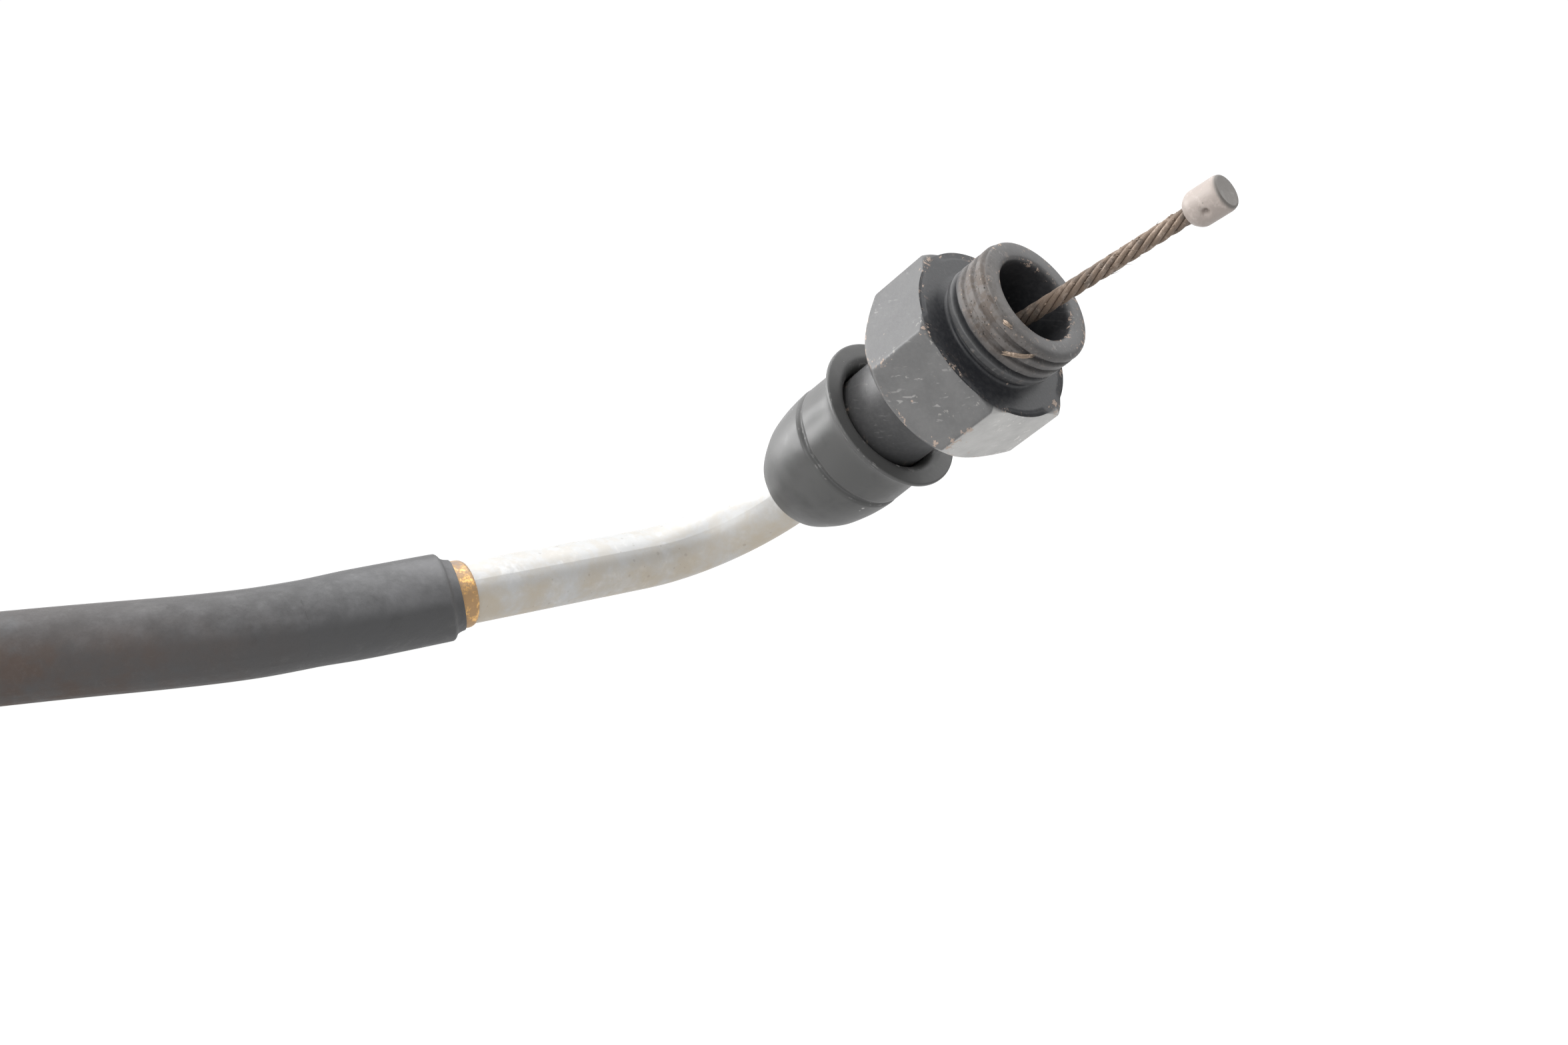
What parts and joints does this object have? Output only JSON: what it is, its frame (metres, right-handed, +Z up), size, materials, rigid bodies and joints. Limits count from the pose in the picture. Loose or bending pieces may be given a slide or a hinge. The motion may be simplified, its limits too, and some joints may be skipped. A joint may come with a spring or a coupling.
{
  "type": "sheathed control cable",
  "caption": "Control cable: black conduit, sleeve, bent steel guide tube, sliding rubber boot, swivelling threaded hex nut, and stranded wire with a cast nipple; unseen length coiled.",
  "frame": {"origin": "bottom centre of the rigid cable end, on the surface it lies on", "axes": "+Z up from the surface; +X along the guide tube's straight leg, away from the conduit; +Y away from the screw nut's side"},
  "size_m": [0.1771, 0.1586, 0.0412],
  "materials": {
    "galvanised_steel": "mottled satin",
    "nut_plastic": "worn satin",
    "boot_rubber": "satin",
    "sleeve_rubber": "satin",
    "ferrule_brass": "dull",
    "jacket_plastic": "dusty satin",
    "winding_steel": "oiled",
    "liner_plastic": "smooth",
    "rope_steel": "grimy",
    "nipple_zinc": "cast",
    "strap_plastic": "matte",
    "far_steel": "plated"
  },
  "bodies": {
    "housing": {"guide_tube": "galvanised_steel", "tube_collar": "galvanised_steel", "tube_liner": "liner_plastic", "mouth_bush": "sleeve_rubber", "inner_wire_bend": "rope_steel", "crimp_ferrule": "ferrule_brass", "end_sleeve": "sleeve_rubber", "conduit_jacket": "jacket_plastic", "conduit_winding": "winding_steel", "conduit_liner": "liner_plastic", "inner_wire_run": "rope_steel", "conduit_coil": "jacket_plastic", "coil_straps": "strap_plastic", "far_ferrule": "far_steel"},
    "nut": {"thread_nut": "nut_plastic"},
    "boot": {"rubber_boot": "boot_rubber"},
    "near_pull": {"near_wire": "rope_steel", "near_nipple": "nipple_zinc"},
    "far_pull": {"far_wire": "rope_steel", "far_nipple": "nipple_zinc"}
  },
  "joints": [
    {"name": "nut_swivel", "type": "hinge", "parent": "housing", "child": "nut", "pos_m": [0.01958, -0.00461, 0.02572], "axis": [0.1045, -0.7943, 0.5985], "continuous": true},
    {"name": "boot_slide", "type": "slide", "parent": "housing", "child": "boot", "axis": [0.1045, -0.7943, 0.5985], "range_m": [0, 0.0055]},
    {"name": "near_wire_slide", "type": "slide", "parent": "housing", "child": "near_pull", "axis": [-0.1354, 0.84, -0.5254], "range_m": [0, 0.012]},
    {"name": "far_wire_slide", "type": "slide", "parent": "housing", "child": "far_pull", "axis": [0.9984, 0.0567, 0], "range_m": [0, 0.012]}
  ],
  "couplings": [
    {"joint": "far_wire_slide", "follows": "near_wire_slide", "ratio": 1}
  ]
}
